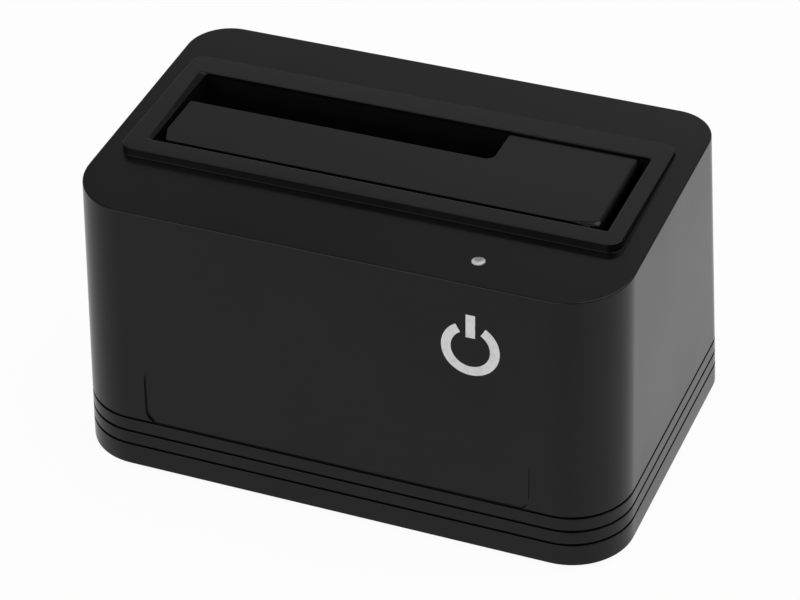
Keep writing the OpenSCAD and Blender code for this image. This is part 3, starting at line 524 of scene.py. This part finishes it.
def make_flap():
    bm = bmesh.new()
    plan = [
        (RELIEF_X, FLAP_Y0), (FLAP_X1, FLAP_Y0), (FLAP_X1, FLAP_Y1), (NOTCH_X, FLAP_Y1),
        (NOTCH_X, NOTCH_Y), (FLAP_X0, NOTCH_Y), (FLAP_X0, RELIEF_Y),
    ]
    points = [bm.verts.new(Vector((x, y, FLAP_TOP - FLAP_T)) * MM) for x, y in plan]
    plate = bm.faces.new(points)
    raised = bmesh.ops.extrude_face_region(bm, geom=[plate])
    moved = [g for g in raised["geom"] if isinstance(g, bmesh.types.BMVert)]
    bmesh.ops.translate(bm, vec=(0, 0, FLAP_T * MM), verts=moved)
    bmesh.ops.recalc_face_normals(bm, faces=bm.faces)
    round_edges(bm, upright_at(bm, FLAP_X1, FLAP_Y0), FLAP_CORNER_R, 3)
    round_edges(bm, [e for e in bm.edges if on_right_end(e)], FLAP_END_R, 8)
    round_edges(bm, upright_at(bm, NOTCH_X, NOTCH_Y), NOTCH_R, 8)
    round_edges(bm, upright_at(bm, NOTCH_X, FLAP_Y1), NOTCH_END_R, 8)
    round_edges(bm, [e for e in sharp_edges(bm, FLAP_ANGLE) if on_front_edge(e)], FLAP_FRONT_R, 4)
    round_edges(bm, sharp_edges(bm, FLAP_ANGLE), FLAP_EDGE_R)
    clean(bm)
    barrel_end = FLAP_X1 - FLAP_CORNER_R
    barrel = bmesh.ops.create_cone(bm, cap_ends=True, segments=BARREL_STEPS, radius1=HINGE_R * MM,
                                   radius2=HINGE_R * MM, depth=(barrel_end - RELIEF_X) * MM)
    ring = barrel["verts"]
    bmesh.ops.rotate(bm, cent=(0, 0, 0), matrix=Matrix.Rotation(math.pi / 2, 3, "Y"), verts=ring)
    middle = Vector(((barrel_end + RELIEF_X) / 2, AXIS_Y, AXIS_Z))
    bmesh.ops.translate(bm, vec=middle * MM, verts=ring)
    ends = {e for v in ring for e in v.link_edges if e.is_manifold and e.calc_face_angle() > SHARP}
    round_edges(bm, list(ends), BARREL_EDGE_R)
    flap = new_piece("flap_plate", bm, "flap")
    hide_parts("flap_door")
    return smooth(flap)


def upright_at(bm, x, y):
    """The upright edges of the flap at one corner of its plan."""
    corner = Vector((x, y))
    tall = FLAP_T / 2 * MM
    return [e for e in bm.edges if abs(e.verts[0].co.z - e.verts[1].co.z) > tall
            and (edge_middle(e).xy - corner).length < NEAR]


def on_front_edge(edge):
    """Whether an edge is the flap's upper edge along its front, down its rounded right end."""
    spot = edge_middle(edge)
    return abs(spot.y - FLAP_Y0) < TOUCH and spot.z > FLAP_TOP - FLAP_END_R and spot.x > RELIEF_X


def on_right_end(edge):
    """Whether an edge is the flap's upper edge at its right end or round its front corner."""
    spot = edge_middle(edge)
    flat = abs(edge.verts[0].co.z - edge.verts[1].co.z) < WELD
    return flat and spot.z > FLAP_TOP - TOUCH and spot.x > FLAP_X1 - FLAP_CORNER_R


# The sign on the front: an open ring and a bar, printed on the leaning wall
SIGN_X = 31.9
SIGN_Z = 52.7
RING_OUT = 6.55
RING_IN = 4.4
RING_GAP = 31
BAR_W = 2.1
BAR_LOW = 2.8
BAR_HIGH = 8.4
PRINT_T = 0.06


def make_sign():
    bm = bmesh.new()
    start = Matrix.Rotation(math.radians(-RING_GAP), 3, "Z") @ Vector((0, 1, 0))
    ends = [bm.verts.new(start * r * MM) for r in (RING_IN, RING_OUT)]
    spoke = bm.edges.new(ends)
    bmesh.ops.spin(bm, geom=ends + [spoke], cent=(0, 0, 0), axis=(0, 0, -1), dvec=(0, 0, 0),
                   angle=math.radians(360 - 2 * RING_GAP), steps=RING_STEPS, use_merge=False,
                   use_duplicate=False)
    half = BAR_W / 2
    plan = [(-half, BAR_LOW, 0), (half, BAR_LOW, 0), (half, BAR_HIGH, 0), (-half, BAR_HIGH, 0)]
    bm.faces.new([bm.verts.new(Vector(p) * MM) for p in plan])
    bmesh.ops.recalc_face_normals(bm, faces=bm.faces)
    raised = bmesh.ops.extrude_face_region(bm, geom=list(bm.faces))
    moved = [g for g in raised["geom"] if isinstance(g, bmesh.types.BMVert)]
    bmesh.ops.translate(bm, vec=(0, 0, PRINT_T * MM), verts=moved)
    bmesh.ops.recalc_face_normals(bm, faces=bm.faces)
    bmesh.ops.translate(bm, vec=(0, 0, -PRINT_T / 2 * MM), verts=bm.verts)
    lean = Matrix.Rotation(math.pi / 2 - DRAFT, 3, "X")
    bmesh.ops.rotate(bm, cent=(0, 0, 0), matrix=lean, verts=bm.verts)
    place = Vector((SIGN_X, -half_depth(SIGN_Z), SIGN_Z))
    bmesh.ops.translate(bm, vec=place * MM, verts=bm.verts)
    return new_piece("front_sign", bm, "dock")


def softened(node, radius):
    """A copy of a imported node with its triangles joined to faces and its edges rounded."""
    body = nodes[node]["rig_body"]
    bm = reopen(nodes[node])
    bmesh.ops.remove_doubles(bm, verts=bm.verts, dist=WELD)
    bmesh.ops.dissolve_limit(bm, angle_limit=FLAT_ANGLE, verts=bm.verts, edges=bm.edges)
    if radius:
        round_edges(bm, sharp_edges(bm, NODE_ANGLE), radius, 2)
        clean(bm)
    piece = new_piece(node + "_soft", bm, body)
    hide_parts(node)
    return smooth(piece)


def make_spring():
    """The flap's torsion spring, between its leg in the well and its leg under the flap, copied from the
    imported node with its points merged.
    """
    bm = reopen(nodes["flap_spring"])
    bmesh.ops.remove_doubles(bm, verts=bm.verts, dist=WELD)
    spring = new_piece("twisting_spring", bm, None)
    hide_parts("flap_spring")
    smooth(spring)
    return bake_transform(spring)


class Value:
    """A number that varies over a surface: sums with it add Math nodes to its finish."""

    def __init__(self, finish, socket):
        self.finish = finish
        self.socket = socket

    def sum(self, operation, first, second):
        settings = {"operation": operation}
        return self.finish.node("ShaderNodeMath", settings, {0: first, 1: second}, "Value")

    def __add__(self, other):
        return self.sum("ADD", self, other)

    def __radd__(self, other):
        return self.sum("ADD", other, self)

    def __mul__(self, other):
        return self.sum("MULTIPLY", self, other)

    def __rmul__(self, other):
        return self.sum("MULTIPLY", other, self)


class Graph:
    """A tree of shader nodes that are added one by one."""

    def __init__(self, tree):
        self.tree = tree

    def feed(self, socket, value):
        if isinstance(value, Value):
            self.tree.links.new(value.socket, socket)
        else:
            socket.default_value = value

    def node(self, kind, settings, inputs, output):
        made = self.tree.nodes.new(kind)
        for name, value in settings.items():
            setattr(made, name, value)
        for name, value in inputs.items():
            self.feed(made.inputs[name], value)
        return Value(self, made.outputs[output])

    def vector(self, operation, first, second, output):
        settings = {"operation": operation}
        return self.node("ShaderNodeVectorMath", settings, {0: first, 1: second}, output)

    def along(self, place, direction):
        return self.vector("DOT_PRODUCT", place, direction, "Value")

    def between(self, value, low, high, to_low=0.0, to_high=1.0):
        inputs = {"Value": value, "From Min": low, "From Max": high, "To Min": to_low, "To Max": to_high}
        return self.node("ShaderNodeMapRange", {"clamp": True}, inputs, "Result")

    def mix(self, factor, first, second):
        inputs = {0: factor, 6: first, 7: second}
        return self.node("ShaderNodeMix", {"data_type": "RGBA"}, inputs, 2)


# The shader's sockets that take constants
SOCKETS = {
    "ior": "IOR", "metallic": "Metallic", "subsurface": "Subsurface Weight",
    "subsurface_radius": "Subsurface Radius",
}


class Finish(Graph):
    """A material on the part's own coordinates."""

    def __init__(self, name, **constants):
        self.material = bpy.data.materials.new(name)
        self.material.use_nodes = True
        super().__init__(self.material.node_tree)
        self.shader = self.tree.nodes["Principled BSDF"]
        self.place = self.node("ShaderNodeTexCoord", {}, {}, "Object")
        for key, value in constants.items():
            self.shader.inputs[SOCKETS[key]].default_value = value

    def stretch(self, scale):
        return self.node("ShaderNodeMapping", {}, {"Vector": self.place, "Scale": scale}, "Vector")

    def noise(self, scale, detail, at=None):
        inputs = {"Vector": at or self.place, "Scale": scale, "Detail": detail}
        return self.node("ShaderNodeTexNoise", {}, inputs, "Fac")

    def cells(self, scale, feature="F1"):
        inputs = {"Vector": self.place, "Scale": scale}
        return self.node("ShaderNodeTexVoronoi", {"feature": feature}, inputs, "Distance")

    def bump(self, height, strength, depth):
        inputs = {"Height": height, "Strength": strength, "Distance": depth}
        return self.node("ShaderNodeBump", {}, inputs, "Normal")

    def set(self, **values):
        for name, value in values.items():
            self.feed(self.shader.inputs[name.replace("_", " ").title()], value)
        return self.material


# How deep the bumps of a material are
FINE_BUMP = 0.00002
PLAIN_BUMP = 0.00003
COARSE_BUMP = 0.00005


def grey(level):
    return (level, level, level, 1)


def moulded_black(name, dark, light, gloss, grain):
    """Black moulded plastic with a fine grain, uneven gloss, dust specks and hairline rubs."""
    finish = Finish(name, ior=1.33)
    patches = finish.between(finish.noise(38, 4), 0.35, 0.65)
    specks = finish.between(finish.cells(900), 0.05, 0.02)
    rare = finish.between(finish.noise(420, 1), 0.62, 0.68)
    dust = specks * rare
    tone = finish.mix(patches, dark, light)
    rubs = finish.between(finish.noise(1, 3, at=finish.stretch((60, 2600, 900))), 0.66, 0.72)
    fine = finish.noise(5200, 2)
    return finish.set(
        base_color=finish.mix(dust * 0.35, tone, grey(0.2)),
        roughness=gloss + patches * 0.06 + dust * 0.2 + rubs * 0.05,
        normal=finish.bump(fine, grain, FINE_BUMP),
    )


def matt_black(name, dark, light, rough, ior=1.4):
    finish = Finish(name, ior=ior)
    patches = finish.noise(160, 4)
    return finish.set(
        base_color=finish.mix(patches, dark, light),
        roughness=rough + patches * 0.12,
        normal=finish.bump(finish.noise(3400, 2), 0.18, PLAIN_BUMP),
    )


def plated_steel(name, dark, light, stretch):
    """Bright metal with drawn lines along one direction and a few dull spots."""
    finish = Finish(name, metallic=1.0)
    lines = finish.noise(1, 2, at=finish.stretch(stretch))
    spots = finish.between(finish.noise(700, 3), 0.55, 0.75)
    return finish.set(
        base_color=finish.mix(spots * 0.6, light, dark),
        roughness=0.22 + lines * 0.16 + spots * 0.12,
        normal=finish.bump(lines, 0.12, FINE_BUMP),
    )


def circuit_green():
    """Solder mask over copper tracks, with the weave of the laminate showing faintly."""
    finish = Finish("solder_mask", ior=1.45)
    tracks = finish.between(finish.cells(420, "DISTANCE_TO_EDGE"), 0.06, 0.1)
    weave = finish.noise(1, 1, at=finish.stretch((900, 2600, 900)))
    return finish.set(
        base_color=finish.mix(tracks, (0.05, 0.26, 0.13, 1), (0.012, 0.11, 0.055, 1)),
        roughness=0.3 + weave * 0.15,
        normal=finish.bump(tracks * 0.6 + weave * 0.2, 0.3, PLAIN_BUMP),
    )


def foot_rubber():
    finish = Finish("foot_rubber", ior=1.4)
    crumbs = finish.cells(1500)
    return finish.set(
        base_color=finish.mix(crumbs, grey(0.012), grey(0.03)),
        roughness=0.75 + crumbs * 0.15,
        normal=finish.bump(crumbs, 0.4, COARSE_BUMP),
    )


# The light's tip has a painted glow, as of light through its dome: plain grey out to one distance from
# its middle and painted white from another
LENS_GLOW_SHIFT = 0.2
LENS_GLOW_START = 0.7
LENS_GLOW_FULL = 1.35


def lens_painted_glow():
    """A moulded light pipe, with a glow painted on its tip that whitens towards its rim."""
    finish = Finish("lens_painted_glow", ior=1.45, subsurface=0.3, subsurface_radius=(MM, MM, MM))
    cloud = finish.noise(900, 3)
    middle = Vector((LIGHT_X, LIGHT_Y + LENS_GLOW_SHIFT, 0)) * MM
    flat = finish.vector("MULTIPLY", finish.place, (1, 1, 0), "Vector")
    far = finish.vector("DISTANCE", flat, middle, "Value")
    # Painted glow: the tip is painted whiter towards its rim, round a middle set back towards the rear
    rim_glow = finish.between(far, LENS_GLOW_START * MM, LENS_GLOW_FULL * MM)
    return finish.set(
        base_color=finish.mix(rim_glow * 0.85 + cloud * 0.15, grey(0.23), grey(0.7)),
        roughness=0.18 + cloud * 0.1,
        normal=finish.bump(cloud, 0.1, FINE_BUMP),
    )


def printed_white():
    """White ink with thin spots and a fine grain."""
    finish = Finish("printed_white", ior=1.4)
    thin = finish.between(finish.noise(900, 3), 0.5, 0.72)
    return finish.set(
        base_color=finish.mix(thin, grey(0.77), grey(0.66)),
        roughness=0.5 + thin * 0.15,
        normal=finish.bump(finish.noise(5200, 2), 0.1, FINE_BUMP),
    )


housing = make_housing()
base = make_base()
flap = make_flap()
sign = make_sign()
spring = make_spring()

shell_black = moulded_black("shell_black", grey(0.003), grey(0.004), 0.17, 0.06)
flap_black = moulded_black("flap_black", grey(0.0025), grey(0.0036), 0.16, 0.05)
# The well's matt black is darker than the shell's: partly its own, partly painted shade inside the slot
well_black = matt_black("well_black", grey(0.0018), grey(0.003), 0.6, 1.2)
port_black = matt_black("port_black", grey(0.006), grey(0.011), 0.42)
chip_black = matt_black("chip_black", grey(0.012), grey(0.02), 0.6)
ferrite = matt_black("ferrite", grey(0.03), grey(0.06), 0.65)
lamp_white = matt_black("lamp_white", grey(0.7), grey(0.8), 0.4)
dark_wire = matt_black("dark_wire", grey(0.002), grey(0.004), 0.7, 1.12)
steel = plated_steel("plated_steel", (0.3, 0.3, 0.31, 1), (0.6, 0.61, 0.63, 1), (300, 300, 4200))
gold = plated_steel("gold_flash", (0.5, 0.33, 0.1, 1), (0.86, 0.63, 0.26, 1), (2500, 300, 300))
aluminium = plated_steel("can_aluminium", (0.5, 0.5, 0.52, 1), (0.78, 0.79, 0.8, 1), (260, 260, 3800))
finishes = {
    "housing_black": shell_black, "flap_black": flap_black, "well_black": well_black,
    "port_black": port_black, "foot_rubber": foot_rubber(), "steel": steel, "gold": gold,
    "board_green": circuit_green(), "chip_black": chip_black, "lens_white": lens_painted_glow(),
    "lamp_white": lamp_white, "ferrite_grey": ferrite, "can_aluminium": aluminium,
}
slots = {s["node"]: s["material_slot"] for s in frame["record"]["subparts"]}
# How far the edges of the small pieces are rounded
SOFT_EDGES = {
    "drive_well": 0.25, "sata_connector": 0.15, "usb_shell": 0.08, "usb_insert": 0.12, "inlet_body": 0.2,
    "inlet_pin": 0.25, "switch_body": 0.2, "switch_rocker": 0.25, "rubber_feet": 0.2, "case_screws": 0.12,
    "light_pipe": 0, "flap_hinge_pin": 0,
}
own_finish = {"flap_hinge_pin": dark_wire, "flap_spring": dark_wire}
for node, radius in SOFT_EDGES.items():
    softened(node, radius).data.materials.append(own_finish.get(node, finishes[slots[node]]))
dressed = {
    housing: shell_black, base: shell_black, flap: flap_black, sign: printed_white(), spring: dark_wire,
}
for piece, finish in dressed.items():
    piece.data.materials.clear()
    piece.data.materials.append(finish)
for name, node in nodes.items():
    node.data.materials.clear()
    node.data.materials.append(own_finish.get(name, finishes[slots[name]]))

# The floor is white to the camera. In mirrored light it is dimmer and carries painted shade, least at the
# right rear:
# it is darker towards the front along a diagonal, and darker again, as a painted shadow, from close to
# the part's right side leftwards.
FLOOR_SIZE = 6.0
FLOOR_TONE = 0.85
FLOOR_ROUGH = 0.9
SHADE_DIAGONAL = (-0.06, 0.08)
SIDE_SHADOW = (0.066, 0.076)
SIDE_SHADOW_SHARE = 0.5
SHADED_FRONT_TONE = 0.74
REAR_TONE = 0.96
SEEN_SHARE = 0.95
MIRRORED_SHARE = 0.85


def make_floor():
    bm = bmesh.new()
    bmesh.ops.create_grid(bm, x_segments=1, y_segments=1, size=FLOOR_SIZE / 2)
    floor = new_piece("floor", bm, None)
    paper = Finish("floor_paper")
    paper.set(base_color=grey(FLOOR_TONE), roughness=FLOOR_ROUGH)
    seen = paper.node("ShaderNodeLightPath", {}, {}, "Is Camera Ray")
    mirrored = paper.node("ShaderNodeLightPath", {}, {}, "Is Glossy Ray")
    through = paper.node("ShaderNodeLightPath", {}, {}, "Is Transmission Ray")
    # Painted shade and a painted shadow beside the part's right side, in the floor's mirrored tone
    rear = paper.between(paper.along(paper.place, (1, 1, 0)), *SHADE_DIAGONAL)
    right = paper.between(paper.along(paper.place, (1, 0, 0)), *SIDE_SHADOW, SIDE_SHADOW_SHARE, 1.0)
    painted_shade = paper.mix(rear * right, grey(SHADED_FRONT_TONE), grey(REAR_TONE))
    tone = paper.mix(seen, painted_shade, grey(1.0))
    bright = paper.node("ShaderNodeEmission", {}, {"Color": tone, "Strength": 1.0}, "Emission")
    lit = Value(paper, paper.shader.outputs["BSDF"])
    share = seen * SEEN_SHARE + (mirrored + through) * MIRRORED_SHARE
    both = paper.node("ShaderNodeMixShader", {}, {0: share, 1: lit, 2: bright}, "Shader")
    paper.feed(paper.tree.nodes["Material Output"].inputs["Surface"], both)
    floor.data.materials.append(paper.material)


make_floor()


# Where the lamps point
LAMP_AIM = (0, 0, 0.04)


def make_lamp(name, place, size, power):
    """A soft square lamp that faces the middle of the part."""
    data = bpy.data.lights.new(name, "AREA")
    data.shape = "SQUARE"
    data.size = size
    data.energy = power
    lamp = bpy.data.objects.new(name, data)
    bpy.context.scene.collection.objects.link(lamp)
    lamp.location = Vector(place)
    aim = Vector(LAMP_AIM) - lamp.location
    lamp.rotation_euler = aim.to_track_quat("-Z", "Y").to_euler()


make_lamp("high_lamp", (0.9, 0.4, 1.74), 2.0, 26)
make_lamp("front_lamp", (-0.81, -1.94, 1.36), 2.6, 25)


# The studio round the part, which is darker overhead and at the right
STUDIO_TONE = 0.55
OVERHEAD = (-0.633, 0, 1)
OVERHEAD_RANGE = (0.74, 0.86)
OVERHEAD_TONE = 0.2
RIGHT_RANGE = (0.05, 0.35)
RIGHT_TONE = 0.1


def make_world():
    world = bpy.data.worlds.new("studio")
    bpy.context.scene.world = world
    world.use_nodes = True
    sky = Graph(world.node_tree)
    place = sky.node("ShaderNodeTexCoord", {}, {}, "Generated")
    overhead = sky.between(sky.along(place, OVERHEAD), *OVERHEAD_RANGE)
    right = sky.between(sky.along(place, (1, 0, 0)), *RIGHT_RANGE)
    upper = sky.mix(overhead, grey(STUDIO_TONE), grey(OVERHEAD_TONE))
    tone = sky.mix(right, upper, grey(RIGHT_TONE))
    sky.feed(sky.tree.nodes["Background"].inputs["Color"], tone)


make_world()

# The camera, fitted to the edges in the photograph, with its focal length in widths of the picture
YAW = math.radians(23.346)
PITCH = math.radians(35.954)
ROLL = math.radians(-2.151)
FOCUS = 3.875
SENSOR = 36.0
DISTANCE = 694.33
LIFT = 33.82
DROP = -1.989
CLIP_NEAR = 0.01
CLIP_FAR = 50.0


def make_camera():
    back = Vector((math.sin(YAW) * math.cos(PITCH), -math.cos(YAW) * math.cos(PITCH), math.sin(PITCH)))
    level = Vector((math.cos(YAW), math.sin(YAW), 0))
    upright = back.cross(level)
    right = level * math.cos(ROLL) + upright * math.sin(ROLL)
    up = upright * math.cos(ROLL) - level * math.sin(ROLL)
    data = bpy.data.cameras.new("camera")
    data.sensor_fit = "HORIZONTAL"
    data.sensor_width = SENSOR
    data.lens = FOCUS * SENSOR
    data.clip_start = CLIP_NEAR
    data.clip_end = CLIP_FAR
    camera = bpy.data.objects.new("camera", data)
    bpy.context.scene.collection.objects.link(camera)
    turn = Matrix((right, up, back)).transposed().to_4x4()
    place = Vector((0, 0, LIFT)) + back * DISTANCE + up * DROP
    camera.matrix_world = Matrix.Translation(place * MM) @ turn
    bpy.context.scene.camera = camera


make_camera()
bpy.context.scene.view_settings.view_transform = "Standard"
